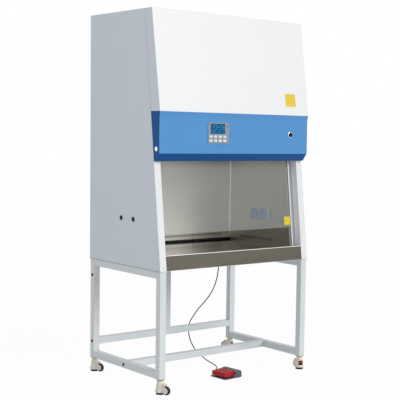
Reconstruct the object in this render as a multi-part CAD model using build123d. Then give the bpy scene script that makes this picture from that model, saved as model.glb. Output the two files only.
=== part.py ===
from build123d import *
import os
from math import atan, cos, radians, sin, tan, degrees, pi

# Class II biosafety cabinet on a four-legged stand with levelling casters.
# Millimetres, +Z up. X = 0 is the middle of the cabinet, -Y is the operator's side
# and Z = 0 is the floor under the levelling feet.

# ---- overall sizes -------------------------------------------------------------
cabinet_width = 1100.0
cabinet_depth = 750.0
caster_height = 86.0
stand_height = 606.0
body_height = 1454.0
front_lean = 0.12            # how far the front plane goes back for each mm it rises
sheet = 2.0                  # outer steel sheet
liner_sheet = 1.5            # stainless steel inside

base_z = caster_height + stand_height
top_z = base_z + body_height
half_width = cabinet_width / 2
front_y = -cabinet_depth / 2
rear_y = cabinet_depth / 2
lean_angle = degrees(atan(front_lean))

# ---- front frame and work chamber ----------------------------------------------
post_width = 41.0
post_depth = 48.0
lip_height = 88.0            # stainless front edge above the cabinet's base
lip_depth = 14.0
work_top_z = base_z + 72.0
liner_inset = 80.0           # from the cabinet's side to the chamber's wall
chamber_half = half_width - liner_inset
chamber_rear_y = 297.0
chamber_top_z = base_z + 640.0
return_gap = 14.0            # air slot under the rear liner
pan_z = base_z + 18.0
slot_pitch = 16.5
slot_width = 7.0
slot_height = 15.0
rear_slot_rows = 49
side_slot_rows = 20
slot_z = base_z + 112.0
fit_gap = 0.5                # clearance between sheet-metal pieces that do not touch

# ---- sash -----------------------------------------------------------------------
glass_thickness = 5.0
glass_offset = 51.0          # from the front plane to the front of the glass
guide_setback = 8.0          # guide's inner edge, outside the chamber wall
glass_reach = 28.0           # glass edge, outside the chamber wall
glass_half = chamber_half + glass_reach
glass_bottom = 207.0         # along the front plane, from the base
glass_length = 552.0
guide_inner = chamber_half + guide_setback
guide_top_z = top_z - 150.0
guide_lip = 2.0
guide_play = 1.0
guide_near = glass_offset - guide_play - guide_lip
guide_far = glass_offset + glass_thickness + guide_play + guide_lip

# ---- front cover and control fascia --------------------------------------------
fascia_top_z = base_z + 888.0
bevel_height = 28.0
fascia_bottom_z = base_z + 612.0
chin_top_z = base_z + 656.0
cover_foot_depth = 89.0      # from the front plane to the cover's front at its foot
cover_head_depth = 70.0
bevel_depth = 6.0
cover_gap = 2.0
fascia_wall = 3.0

module_x = -141.0            # control module, centre
module_z = base_z + 773.0
module_width = 150.0
module_height = 120.0
module_thickness = 4.0
body_margin = 4.5            # plate's overlap round the module's body
screen_width = 105.0
screen_height = 58.0
screen_floor = 1.0           # thickness left behind the display's pocket
screen_x = -147.0
screen_z = base_z + 797.0
key_pitch_x = 33.3
key_pitch_z = 22.7
key_width = 22.0
key_height = 14.0
key_first_x = -198.0
key_top_z = base_z + 752.5
key_proud = 3.0
key_play = 0.4
key_travel = 2.0
key_pocket = 12.0
key_flange = 2.0             # lip of a key behind the plate
lock_inset = 141.0
lock_x = half_width - lock_inset
lock_z = base_z + 770.0
lock_radius = 18.0
barrel_radius = 10.5
barrel_proud = 7.0
barrel_play = 0.08
side_lock_radius = 13.0
side_lock_y = -326.0
side_lock_z = base_z + 680.0

# ---- stand ----------------------------------------------------------------------
tube = 40.0
tube_wall = 2.0
stand_inset = 3.0
rear_bar_z = 187.0
plug_z = 594.0
mid_bar_y = -3.0
cap_radius = 9.0

# ---- casters --------------------------------------------------------------------
trail = 45.0
wheel_radius = 25.0
wheel_width = 18.0
axle_radius = 4.0
axle_play = 0.06
foot_radius = 24.0
foot_thickness = 7.0
stem_radius = 6.0
dial_radius = 18.5
dial_thickness = 10.0
dial_z = 38.0
foot_up = 5.0
foot_down = 10.0
caster_turn = 15.0           # degrees that each caster is swivelled off the Y axis

# ---- foot switch and its cord ---------------------------------------------------
pedal_x = 27.0
pedal_y = -245.0
pedal_turn = 4.0
pedal_length = 138.0
pedal_width = 138.0
pedal_base = 6.0
pedal_height = 43.0
cord_diameter = 7.0
cord_exit_x = 215.0
cord_exit_y = 85.0


# ---- helpers --------------------------------------------------------------------
def front_at(z):
    """Y of the leaning front plane at height z."""
    return front_y + front_lean * (z - base_z)


def block(x0, x1, y0, y1, z0, z1):
    """Box between two corners."""
    return Pos((x0 + x1) / 2, (y0 + y1) / 2, (z0 + z1) / 2) * Box(
        abs(x1 - x0), abs(y1 - y0), abs(z1 - z0))


def side_prism(points, x0, x1):
    """Solid with the given YZ outline, from x0 to x1."""
    outline = make_face(Polyline(*points, close=True))
    return extrude(Plane.YZ.offset(min(x0, x1)) * outline, amount=abs(x1 - x0))


def leaning_bar(x0, x1, near, far, z0, z1):
    """Bar that follows the front plane, between two depths behind it."""
    return side_prism([(front_at(z0) + near, z0), (front_at(z1) + near, z1),
                       (front_at(z1) + far, z1), (front_at(z0) + far, z0)], x0, x1)


def rod(radius, length, start, direction):
    """Cylinder from a start point along a direction."""
    return extrude(Plane(origin=start, z_dir=direction) * Circle(radius), amount=length)


def both_sides(piece):
    """The piece and its mirror image across the middle of the cabinet."""
    return [piece, mirror(piece, about=Plane.YZ)]


lean_plane = Plane(origin=(0, front_y, base_z), x_dir=(1, 0, 0),
                   z_dir=(0, -cos(radians(lean_angle)), sin(radians(lean_angle))))


def on_lean(x0, x1, up0, up1, depth0, depth1):
    """Box in the leaning plane's own directions: across, up the slope, behind it."""
    return lean_plane * block(x0, x1, up0, up1, -depth1, -depth0)


os.makedirs("parts", exist_ok=True)


def save(name, pieces):
    """Write one sub-part; a list of solids becomes one group."""
    solids = pieces if isinstance(pieces, list) else [pieces]
    shape = Compound(children=[s for p in solids for s in p.solids()])
    if len(shape.solids()) == 1:
        shape = shape.solids()[0]
    export_step(shape, "parts/" + name + ".step")


# ---- outer body -----------------------------------------------------------------
plug_holes = [(27.0, base_z + 274.0), (-99.0, base_z + 274.0)]
plug_radius = 12.0


def side_panel():
    """Side sheet with its leaning front edge and folded rear and bottom flanges."""
    flange = 18.0
    inner = half_width - sheet
    outline = [(rear_y, base_z), (front_y, base_z), (front_at(top_z), top_z), (rear_y, top_z)]
    panel = side_prism(outline, inner, half_width)
    panel += block(inner - flange, inner, rear_y - sheet, rear_y, base_z, top_z - sheet)
    panel += block(inner - flange, inner, front_y + 60, rear_y - sheet, base_z, base_z + sheet)
    for y, z in plug_holes:
        panel -= rod(plug_radius, 3 * sheet, (inner - sheet, y, z), (1, 0, 0))
    return panel


def rear_panel():
    """Back sheet between the side flanges, with two folded stiffening ribs."""
    inner = half_width - sheet
    y1 = rear_y - sheet
    panel = block(-inner, inner, y1 - sheet, y1, base_z + sheet, top_z - sheet)
    for x in (-chamber_half / 2, chamber_half / 2):
        rib = block(x - 20, x + 20, y1 - 14, y1 - sheet, base_z + 60, top_z - 60)
        rib -= block(x - 20 + sheet, x + 20 - sheet, y1 - 14 + sheet, y1, base_z + 50, top_z - 50)
        panel += rib
    panel -= rod(inlet_radius, 3 * sheet, (inlet_x, y1 + sheet, inlet_z), (0, -1, 0))
    return panel


inlet_x = half_width - 170.0
inlet_z = top_z - 260.0
inlet_radius = 9.0
hinge_inset = 150.0
hinge_places = (-half_width + hinge_inset, 0.0, half_width - hinge_inset)
hinge_radius = 2.7
hinge_pin = 1.5
hinge_leaf = 1.5
knuckle = 12.0               # half the length of one hinge knuckle
hinge_y = front_at(top_z) - 0.5
hinge_z = top_z + hinge_radius + 0.1
exhaust_y = 90.0
exhaust_width = 460.0
exhaust_depth = 300.0
adapter_pitch_x = 540.0
adapter_pitch_y = 400.0
adapter_hole = 3.3
slat_rows = 12
grille_slot_rows = 34
diffuser_rows = 14
blade_rows = 7
dial_groove_rows = 8


def top_panel():
    """Roof sheet with the exhaust opening and the bolt holes of a duct adapter."""
    inner = half_width - sheet
    front = front_at(top_z)
    between = inner - post_width - fit_gap
    panel = block(-inner, inner, front, rear_y, top_z - sheet, top_z)
    panel += block(-between, between, front, front + sheet, top_z - 20, top_z - sheet)
    panel -= block(-exhaust_width / 2, exhaust_width / 2, exhaust_y - exhaust_depth / 2,
                   exhaust_y + exhaust_depth / 2, top_z - 3 * sheet, top_z + sheet)
    for dx in (-adapter_pitch_x / 2, adapter_pitch_x / 2):
        for dy in (-adapter_pitch_y / 2, adapter_pitch_y / 2):
            panel -= rod(adapter_hole, 4 * sheet, (dx, exhaust_y + dy, top_z - 2 * sheet), (0, 0, 1))
    for x in hinge_places:
        panel += rod(hinge_radius, 2 * knuckle, (x - knuckle, hinge_y, hinge_z), (1, 0, 0))
        panel += rod(hinge_pin, 6 * knuckle, (x - 3 * knuckle, hinge_y, hinge_z), (1, 0, 0))
        panel += block(x - knuckle, x + knuckle, hinge_y, hinge_y + 22, top_z, top_z + hinge_leaf)
    return panel


def exhaust_grille():
    """Raised frame over the exhaust opening with cross slats."""
    rim = 20.0
    height = 12.0
    x1 = exhaust_width / 2 + rim
    y0 = exhaust_y - exhaust_depth / 2 - rim
    y1 = exhaust_y + exhaust_depth / 2 + rim
    grille = block(-x1, x1, y0, y1, top_z, top_z + height)
    grille -= block(-x1 + rim, x1 - rim, y0 + rim, y1 - rim, top_z - 1, top_z + height + 1)
    for i in range(slat_rows):
        y = y0 + rim + (i + 0.5) * exhaust_depth / slat_rows
        grille += block(-x1 + rim, x1 - rim, y - 3, y + 3, top_z + 2, top_z + height - 2)
    grille = chamfer(grille.edges().filter_by(Axis.Z).group_by(Axis.X)[0]
                     + grille.edges().filter_by(Axis.Z).group_by(Axis.X)[-1], 6)
    return grille


def base_pan():
    """Bottom sheet with the hole for the foot switch's cord gland."""
    inner = half_width - sheet - fit_gap
    between = half_width - sheet - post_width - fit_gap
    z0, z1 = base_z + sheet, base_z + 2 * sheet
    pan = block(-inner, inner, front_y + 62, rear_y - 2 * sheet - fit_gap, z0, z1)
    pan += block(-between, between, front_y + sheet, front_y + 62, z0, z1)
    runner_top = pan_z - liner_sheet / 2
    for x in (-chamber_half / 3, chamber_half / 3):
        runner = block(x - 20, x + 20, front_y + 90, chamber_rear_y - 20, z1, runner_top)
        pan += runner - block(x - 20 + sheet, x + 20 - sheet, front_y + 80, chamber_rear_y,
                              z1, runner_top - sheet)
    pan -= rod(gland_thread, 4 * sheet, (cord_exit_x, cord_exit_y, base_z), (0, 0, 1))
    return pan


gland_thread = 7.0


def cable_glands():
    """Dome-nut glands: one under the base for the foot switch, one behind for the mains."""
    glands = []
    for start, direction in (((cord_exit_x, cord_exit_y, base_z + sheet), (0, 0, -1)),
                             ((inlet_x, rear_y - sheet, inlet_z), (0, 1, 0))):
        at = Plane(origin=start, z_dir=direction)
        body = extrude(at * RegularPolygon(11, 6), amount=8)
        body += extrude(at.offset(8) * Circle(9.5), amount=10, taper=14)
        body += extrude(at * Circle(gland_thread - fit_gap), amount=-10)
        glands.append(body)
    return glands


def front_post():
    """Folded front column, open to the back, right of the opening."""
    x0 = half_width - sheet - post_width
    x1 = half_width - sheet
    z0, z1 = base_z + sheet, top_z - sheet
    post = leaning_bar(x0, x1, 0, post_depth, z0, z1)
    post -= leaning_bar(x0 + sheet, x1 - sheet, sheet, post_depth + 1, z0 - 1, z1 + 1)
    return post


def plugs():
    """Black push-in plugs: service holes in the sides, bolt heads on the stand."""
    x = half_width
    result = []
    for y, z in plug_holes:
        plug = rod(plug_radius - fit_gap, sheet + 4, (x - sheet - 4, y, z), (1, 0, 0))
        plug += rod(plug_radius + 2, 2, (x, y, z), (1, 0, 0))
        result += both_sides(plug)
    face = half_width - stand_inset
    leg_y = rear_y - stand_inset - tube / 2
    for y, z in ((leg_y, plug_z), (leg_y, rear_bar_z), (mid_bar_y, caster_height + tube / 2)):
        result += both_sides(rod(cap_radius, 1.8, (face, y, z), (1, 0, 0)))
    return result


# ---- stainless work chamber -----------------------------------------------------
sump_half = half_width - sheet - post_width - fit_gap
lip_top_z = base_z + lip_height


def front_sump():
    """One folded sheet: front face, rounded lip, wall down and the drip pan behind."""
    t = liner_sheet
    foot_z = base_z + 2 * sheet + t / 2
    back_of_lip = front_at(lip_top_z) + lip_depth
    line = Polyline((front_at(foot_z) + 14, foot_z), (front_at(foot_z) + t / 2, foot_z),
                    (front_at(lip_top_z) + t / 2, lip_top_z - t / 2),
                    (back_of_lip, lip_top_z - t / 2), (back_of_lip, pan_z),
                    (chamber_rear_y - t, pan_z), (chamber_rear_y - t, pan_z + 32))
    profile = trace(line, line_width=t)
    return extrude(Plane.YZ.offset(-sump_half) * profile, amount=2 * sump_half)


grille_z = work_top_z + 3.0
grille_depth = 84.0
grille_front_y = front_at(lip_top_z) + lip_depth + liner_sheet
tray_edge = 24.0
rest_z = work_top_z - tray_edge      # top of the ledges that carry the tray and the grille
ledge = 14.0


def intake_grille():
    """Slotted front grille that rests between the lip and the work tray."""
    y0 = grille_front_y
    y1 = y0 + grille_depth
    half = chamber_half - 2
    grille = block(-half, half, y0, y1, grille_z - liner_sheet, grille_z)
    grille += block(-half, half, y0, y0 + liner_sheet, rest_z, grille_z)
    grille += block(-half, half, y1 - liner_sheet, y1, rest_z, grille_z)
    pitch = 2 * (half - 20) / grille_slot_rows
    slots = []
    for row in (y0 + 0.3 * grille_depth, y0 + 0.7 * grille_depth):
        for i in range(grille_slot_rows):
            x = -half + 20 + (i + 0.5) * pitch
            slots.append(block(x - 4, x + 4, row - 13, row + 13, grille_z - 3, grille_z + 1))
    return grille - slots


def work_tray():
    """Removable worktop with turned-down edges, ribs and two lifting holes."""
    y0 = grille_front_y + grille_depth + 2
    y1 = chamber_rear_y - 6
    half = chamber_half - 3
    z0, z1 = rest_z, work_top_z
    t = liner_sheet
    tray = block(-half, half, y0, y1, z0, z1)
    tray -= block(-half + t, half - t, y0 + t, y1 - t, z0 - 1, z1 - t)
    for x in (-half / 3, half / 3):
        tray += block(x - 15, x + 15, y0 + t, y1 - t, z1 - 12, z1 - t)
        tray -= block(x - 15 + t, x + 15 - t, y0 + t, y1 - t, z1 - 13, z1 - 2 * t)
    for x in (-half + 60, half - 60):
        tray -= rod(11, 4 * t, (x, y0 + 40, z1 - 2 * t), (0, 0, 1))
    return tray


def rear_liner():
    """Stainless back wall, open below for the return air, with a row of slots."""
    t = liner_sheet
    y = chamber_rear_y
    z0 = work_top_z + return_gap
    half = chamber_half + t
    liner = block(-half, half, y, y + t, z0, chamber_top_z)
    liner += block(-half, half, y, y + 16, z0, z0 + t)
    first = -(rear_slot_rows - 1) / 2 * slot_pitch
    slots = [block(first + i * slot_pitch - slot_width / 2, first + i * slot_pitch + slot_width / 2,
                   y - 1, y + t + 1, slot_z - slot_height / 2, slot_z + slot_height / 2)
             for i in range(rear_slot_rows)]
    return liner - slots


socket_y = (26.0, -64.0)
socket_z = base_z + 261.0
socket_width = 60.0
socket_height = 60.0
socket_base = 10.0
lid_depth = 20.0
lid_barrel = 30.0
lid_pin = 1.5
ear = 4.0
lid_hinge_z = socket_z + socket_height / 2 + 3.5
lid_hinge_x = chamber_half - socket_base - 4.5


def side_liner(with_sockets):
    """Right side wall: front fold against the sash guide, ledge for the tray, slots."""
    t = liner_sheet
    far = guide_far
    z0 = pan_z + t / 2
    outline = [(front_at(work_top_z) + far, z0), (front_at(work_top_z) + far, work_top_z),
               (front_at(chamber_top_z) + far, chamber_top_z),
               (chamber_rear_y, chamber_top_z), (chamber_rear_y, work_top_z),
               (chamber_rear_y - 4, work_top_z), (chamber_rear_y - 4, z0)]
    liner = side_prism(outline, chamber_half, chamber_half + t)
    liner += leaning_bar(chamber_half, half_width - sheet - post_width, far, far + t,
                         work_top_z + 8, chamber_top_z)
    liner += block(chamber_half - ledge, chamber_half, grille_front_y, chamber_rear_y - 8,
                   rest_z - t, rest_z)
    slots = []
    for i in range(side_slot_rows):
        y = 28 + (i - (side_slot_rows - 1) / 2) * slot_pitch
        slots.append(block(chamber_half - 1, chamber_half + t + 2, y - slot_width / 2,
                           y + slot_width / 2, slot_z - 6 - slot_height / 2, slot_z - 6 + slot_height / 2))
    liner -= slots
    if with_sockets:
        for y in socket_y:
            liner -= rod(20, 6, (chamber_half - 1, y, socket_z), (1, 0, 0))
    return liner


def side_liners():
    """Left wall plain, right wall with the two socket cut-outs."""
    return [mirror(side_liner(False), about=Plane.YZ), side_liner(True)]


def socket_bodies():
    """Wall sockets: a raised square body on the liner with a back box behind it."""
    bodies = []
    x = chamber_half
    for y in socket_y:
        plate = block(x - socket_base, x, y - socket_width / 2, y + socket_width / 2,
                      socket_z - socket_height / 2, socket_z + socket_height / 2)
        plate = fillet(plate.edges().filter_by(Axis.X), 8)
        plate += rod(19.5, 28, (x - 1, y, socket_z), (1, 0, 0))
        plate -= rod(17, 7, (x - socket_base - 1, y, socket_z), (1, 0, 0))
        for y0 in (y - lid_barrel / 2 - ear - fit_gap, y + lid_barrel / 2 + fit_gap):
            plate += block(lid_hinge_x - 2.5, x, y0, y0 + ear,
                           socket_z + socket_height / 2 - 1.5, lid_hinge_z + 3)
        plate += rod(lid_pin, lid_barrel + ear, (lid_hinge_x, y - (lid_barrel + ear) / 2, lid_hinge_z),
                     (0, 1, 0))
        bodies.append(plate)
    return bodies


def socket_lid(y):
    """Sprung splash cover, domed, that lifts about its top edge."""
    x1 = chamber_half - socket_base - fit_gap
    x0 = x1 - lid_depth
    lid = block(x0, x1, y - socket_width / 2, y + socket_width / 2,
                socket_z - socket_height / 2 - 2, socket_z + socket_height / 2 - 2)
    lid = fillet(lid.edges().filter_by(Axis.X), 14)
    lid = fillet(lid.faces().sort_by(Axis.X)[0].edges(), 5)
    lid -= rod(20, 14, (x1 - 13, y, socket_z - 2), (1, 0, 0))
    half = lid_barrel / 2
    lid += rod(3.5, lid_barrel, (lid_hinge_x, y - half, lid_hinge_z), (0, 1, 0))
    lid += block(lid_hinge_x - 3, lid_hinge_x + 1, y - half, y + half,
                 socket_z + socket_height / 2 - 8, lid_hinge_z)
    return lid - rod(lid_pin + axle_play, lid_barrel, (lid_hinge_x, y - half, lid_hinge_z), (0, 1, 0))


# ---- sash -----------------------------------------------------------------------
def sash_guide():
    """Channel the glass runs in, fixed to the inner face of the right post."""
    x1 = half_width - sheet - post_width
    z0, z1 = work_top_z + 8, guide_top_z
    guide = leaning_bar(guide_inner, x1, guide_near, guide_far, z0, z1)
    guide -= leaning_bar(guide_inner - 1, glass_half + 2, guide_near + guide_lip,
                         guide_far - guide_lip, z0 - 1, z1 + 1)
    return guide


def sash_glass():
    """Toughened pane with softened edges."""
    pane = on_lean(-glass_half, glass_half, glass_bottom, glass_bottom + glass_length,
                   glass_offset, glass_offset + glass_thickness)
    return chamfer(pane.edges().filter_by(Axis.X), 1)


carrier_half = chamber_half - 4
carrier_height = 34.0
carrier_wall = 4.0


def sash_carrier():
    """Clamp rail on the pane's top edge with two lugs for the lift straps."""
    up0 = glass_bottom + glass_length - 12
    up1 = up0 + carrier_height
    near = glass_offset - carrier_wall
    far = glass_offset + glass_thickness + carrier_wall
    rail = on_lean(-carrier_half, carrier_half, up0, up1, near, far)
    rail -= on_lean(-carrier_half - 1, carrier_half + 1, up0 - 1, up0 + 12,
                    glass_offset, glass_offset + glass_thickness)
    for x in (-strap_x, strap_x):
        lug = on_lean(x - 15, x + 15, up1, up1 + 22, glass_offset - 1, glass_offset + 5)
        hole = lean_plane * Pos(x, up1 + 11, -glass_offset - 8) * Cylinder(4, 30)
        rail += lug - hole
    return rail


strap_x = half_width - 170.0
motor_z = top_z - 96.0


def sash_motor():
    """Tubular motor between the posts, with a strap drum near each end."""
    drum = 26.0
    y = front_at(motor_z) + glass_offset + drum
    x1 = half_width - sheet - post_width
    motor = rod(19, 2 * (x1 - 4), (-x1 + 4, y, motor_z), (1, 0, 0))
    for x in (-strap_x, strap_x):
        motor += rod(drum, 30, (x - 15, y, motor_z), (1, 0, 0))
        for side in (-18, 15):
            motor += rod(32, 3, (x + side, y, motor_z), (1, 0, 0))
    for x in (-x1, x1 - 4):
        plate = block(x, x + 4, y - drum - 34, y + 30, motor_z - 30, motor_z + 30)
        motor += fillet(plate.edges().filter_by(Axis.X), 10)
    return motor


# ---- air system -----------------------------------------------------------------
filter_front_y = -185.0
filter_rear_y = 292.0
filter_height = 69.0
plenum_height = 290.0
fan_y = 60.0
fan_radius = 150.0
fan_height = 90.0
inlet_ring = 115.0


def diffuser_screen():
    """Slatted protective screen over the chamber."""
    z = chamber_top_z
    y0 = filter_front_y
    half = chamber_half + liner_sheet
    screen = block(-half, half, y0, filter_rear_y, z, z + liner_sheet)
    pitch = (filter_rear_y - y0 - 30) / diffuser_rows
    cuts = []
    for i in range(diffuser_rows):
        y = y0 + 15 + (i + 0.5) * pitch
        for x in (-chamber_half / 2, chamber_half / 2):
            cuts.append(block(x - half / 2 + 30, x + half / 2 - 30, y - pitch * 0.3, y + pitch * 0.3, z - 1, z + 3))
    return screen - cuts


filter_z = chamber_top_z + liner_sheet


def filter_box(x1, y0, y1, z0, z1, pleats):
    """Filter cell: a rigid frame round a block of folded paper."""
    wall = 14.0
    cell = block(-x1, x1, y0, y1, z0, z1)
    cell -= block(-x1 + wall, x1 - wall, y0 + wall, y1 - wall, z1 - 6, z1 + 1)
    cell -= block(-x1 + wall, x1 - wall, y0 + wall, y1 - wall, z0 - 1, z0 + 6)
    pitch = 2 * (x1 - wall) / pleats
    for i in range(1, pleats):
        x = -x1 + wall + i * pitch
        cell += block(x - 2, x + 2, y0 + wall, y1 - wall, z0 + 2, z1 - 2)
    return cell


def supply_filter():
    return filter_box(chamber_half - 12, filter_front_y, filter_rear_y,
                      filter_z, filter_z + filter_height, 15)


def exhaust_filter():
    z1 = top_z - sheet
    return filter_box(exhaust_width / 2 + 20, exhaust_y - exhaust_depth / 2 - 20,
                      exhaust_y + exhaust_depth / 2 + 20, z1 - 90, z1, 11)


plenum_z = filter_z + filter_height


def plenum_box():
    """Pressure box on the filter with a bell-mouthed fan inlet in its roof."""
    x1 = chamber_half - 12
    z0, z1 = plenum_z, plenum_z + plenum_height
    y0, y1 = filter_front_y + 25, filter_rear_y
    box = block(-x1, x1, y0, y1, z0, z1)
    box -= block(-x1 + sheet, x1 - sheet, y0 + sheet, y1 - sheet, z0 - 1, z1 - sheet)
    mouth = Pos(0, fan_y, z1 - 14) * Cone(inlet_ring - 8, inlet_ring + 12, 28)
    box += mouth
    box -= Pos(0, fan_y, z1 - 14) * Cone(inlet_ring - 10, inlet_ring + 10, 28.01)
    return box


def fan_motor():
    """External-rotor motor on a cross rail inside the plenum."""
    x1 = chamber_half - 12 - sheet
    z = plenum_z + 60
    motor = block(-x1, x1, fan_y - 25, fan_y + 25, z, z + 4)
    motor += Pos(0, fan_y, z + 4 + 40) * Cylinder(60, 80)
    motor = fillet(motor.edges().filter_by(GeomType.CIRCLE).group_by(Axis.Z)[-1], 6)
    motor += Pos(0, fan_y, z + 4 + 80 + 10) * Cylinder(12, 20)
    return motor


fan_z = plenum_z + 60 + 4 + 80 + 3.0


def fan_impeller():
    """Backward-curved wheel: back plate, blades and an inlet shroud."""
    plate = Pos(0, 0, 1.5) * Cylinder(fan_radius, 3)
    plate -= Pos(0, 0, 1.5) * Cylinder(12 + axle_play, 10)
    hub = Pos(0, 0, 12) * (Cylinder(22, 24) - Cylinder(12 + axle_play, 30))
    blade_line = ThreePointArc((60, 0), (112, -22), (fan_radius - 3, -74))
    blade = extrude(trace(blade_line, line_width=3), amount=fan_height)
    wheel = plate + hub
    for i in range(blade_rows):
        wheel += Rot(0, 0, i * 360 / blade_rows) * Pos(0, 0, 2.9) * blade
    shroud = Pos(0, 0, fan_height) * (Cylinder(fan_radius, 3) - Cylinder(inlet_ring - 20, 5))
    wheel += shroud
    return Pos(0, fan_y, fan_z) * wheel


def lamp_tubes():
    """Fluorescent lamp at the front and a germicidal lamp at the back, with holders."""
    lamps = []
    z = chamber_top_z - 22
    for length, y in ((2 * chamber_half - 60, filter_front_y + 30),
                      (2 * chamber_half - 240, chamber_rear_y - 26)):
        x = length / 2
        lamp = rod(8, length, (-x, y, z), (1, 0, 0))
        for end in (-x, x - 22):
            lamp += block(end, end + 22, y - 12, y + 12, z - 12, chamber_top_z)
        lamps.append(lamp)
    return lamps


# ---- front cover and controls ---------------------------------------------------
cover_foot_y = front_at(fascia_top_z) - cover_foot_depth
cover_head_y = front_at(top_z) - cover_head_depth
fascia_front_y = cover_foot_y + bevel_depth
chin_depth = 34.0


def upper_cover():
    """White folded cover, closed on five sides and open towards the cabinet."""
    z0, z1 = fascia_top_z, top_z
    outer = side_prism([(cover_foot_y, z0), (cover_head_y, z1),
                        (front_at(z1) - cover_gap, z1), (front_at(z0) - cover_gap, z0)],
                       -half_width, half_width)
    outer = fillet(outer.edges().filter_by(Axis.X).group_by(Axis.Z)[-1].sort_by(Axis.Y)[0], 4)
    t = sheet
    lean = (cover_head_y - cover_foot_y) / (z1 - z0)
    inner = side_prism([(cover_foot_y + t + lean * t, z0 + t), (cover_head_y + t - lean * t, z1 - t),
                        (front_at(z1 - t) + 1, z1 - t), (front_at(z0 + t) + 1, z0 + t)],
                       -half_width + t, half_width - t)
    cover = outer - inner
    for x in hinge_places:
        for x0 in (x - 3 * knuckle, x + knuckle + fit_gap):
            length = 2 * knuckle - fit_gap
            cover += block(x0, x0 + length, hinge_y - 22, hinge_y - cover_gap + 0.5, top_z,
                           top_z + hinge_leaf)
            cover += rod(hinge_radius, length, (x0, hinge_y, hinge_z), (1, 0, 0))
            cover += block(x0, x0 + length, hinge_y - 3, hinge_y - 1.6, top_z - 0.2, hinge_z)
            cover -= rod(hinge_pin + axle_play, length, (x0, hinge_y, hinge_z), (1, 0, 0))
    return cover


def fascia_outline(inset):
    """Blue fascia's section: a bevelled top, flat face and a chamfered chin."""
    front = fascia_front_y + inset
    top = fascia_top_z - inset
    foot = fascia_bottom_z + inset
    chin = Line((front, chin_top_z), (front + chin_depth - inset / 2, foot))
    rear_foot = front_at(foot) - cover_gap + (1 if inset else 0)
    rear_top = front_at(top) - cover_gap + (1 if inset else 0)
    lines = [Line((front - bevel_depth, top), (front, fascia_top_z - bevel_height)),
             Line((front, fascia_top_z - bevel_height), (front, chin_top_z)),
             chin,
             Line((front + chin_depth - inset / 2, foot), (rear_foot, foot)),
             Line((rear_foot, foot), (rear_top, top)),
             Line((rear_top, top), (front - bevel_depth, top))]
    return make_face(lines)


def control_fascia():
    """Moulded fascia shell with the openings for the control module and the switch."""
    shell = extrude(Plane.YZ.offset(-half_width) * fascia_outline(0), amount=cabinet_width)
    hollow = extrude(Plane.YZ.offset(-half_width + fascia_wall) * fascia_outline(fascia_wall),
                     amount=cabinet_width - 2 * fascia_wall)
    shell -= hollow
    y = fascia_front_y
    half_x = module_width / 2 - body_margin + fit_gap
    half_z = module_height / 2 - body_margin + fit_gap
    shell -= block(module_x - half_x, module_x + half_x, y - 1, y + 2 * fascia_wall,
                   module_z - half_z, module_z + half_z)
    shell -= rod(lock_radius - 4, 3 * fascia_wall, (lock_x, y - 1, lock_z), (0, 1, 0))
    return shell


def key_places():
    """Centres of the eight keys, row by row."""
    return [(key_first_x + column * key_pitch_x, key_top_z - row * key_pitch_z)
            for row in range(2) for column in range(4)]


def control_module():
    """Grey faceplate and housing with pockets for the display and the keys."""
    y = fascia_front_y
    x0, x1 = module_x - module_width / 2, module_x + module_width / 2
    z0, z1 = module_z - module_height / 2, module_z + module_height / 2
    plate = block(x0, x1, y - module_thickness, y, z0, z1)
    plate = fillet(plate.edges().filter_by(Axis.Y), 5)
    plate += block(x0 + body_margin, x1 - body_margin, y - 0.5, y + 24,
                   z0 + body_margin, z1 - body_margin)
    plate -= block(screen_x - screen_width / 2, screen_x + screen_width / 2,
                   y - module_thickness - 1, y - screen_floor, screen_z - screen_height / 2,
                   screen_z + screen_height / 2)
    for x, z in key_places():
        half_x, half_z = key_width / 2 + key_play, key_height / 2 + key_play
        plate -= block(x - half_x, x + half_x, y - module_thickness - 1, y + 1,
                       z - half_z, z + half_z)
        plate -= block(x - half_x, x + half_x, y, y + key_pocket,
                       z - half_z - key_flange, z + half_z + key_flange)
    plate -= rod(5, module_thickness + 2, (x1 - 12, y - module_thickness - 1,
                                           screen_z + screen_height / 2 - 14), (0, 1, 0))
    return plate


def display_screen():
    """Liquid crystal display behind its clear window, and the round remote receiver."""
    y = fascia_front_y
    glass = block(screen_x - screen_width / 2, screen_x + screen_width / 2,
                  y - module_thickness + 1, y - screen_floor, screen_z - screen_height / 2,
                  screen_z + screen_height / 2)
    eye = rod(5, module_thickness, (module_x + module_width / 2 - 12, y - module_thickness + 0.5,
                                    screen_z + screen_height / 2 - 14), (0, 1, 0))
    return [glass, eye]


def control_key(x, z):
    """One key cap with rounded corners on a square stem."""
    y = fascia_front_y - module_thickness
    back = fascia_front_y + key_pocket - key_travel - fit_gap
    cap = block(x - key_width / 2, x + key_width / 2, y - key_proud, back,
                z - key_height / 2, z + key_height / 2)
    cap = fillet(cap.edges().filter_by(Axis.Y), 3)
    cap = chamfer(cap.faces().sort_by(Axis.Y)[0].edges(), 0.8)
    half_z = key_height / 2 + key_flange
    return cap + block(x - key_width / 2, x + key_width / 2, fascia_front_y,
                       fascia_front_y + key_flange, z - half_z, z + half_z)


def lock_fittings():
    """Chromed ring and body of the key switch, and the two side locks of the cover."""
    y = fascia_front_y
    ring = rod(lock_radius, 5, (lock_x, y - 5, lock_z), (0, 1, 0))
    ring = fillet(ring.edges().filter_by(GeomType.CIRCLE).sort_by(Axis.Y)[0], 3)
    ring += rod(lock_radius - 4.5, 34, (lock_x, y, lock_z), (0, 1, 0))
    ring -= rod(barrel_radius + barrel_play, 28, (lock_x, y - 6, lock_z), (0, 1, 0))
    side = rod(side_lock_radius, 2, (half_width, side_lock_y, side_lock_z), (1, 0, 0))
    side -= block(half_width + 1, half_width + 3, side_lock_y - 9, side_lock_y + 9,
                  side_lock_z - 1.5, side_lock_z + 1.5)
    return [ring] + both_sides(side)


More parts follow.
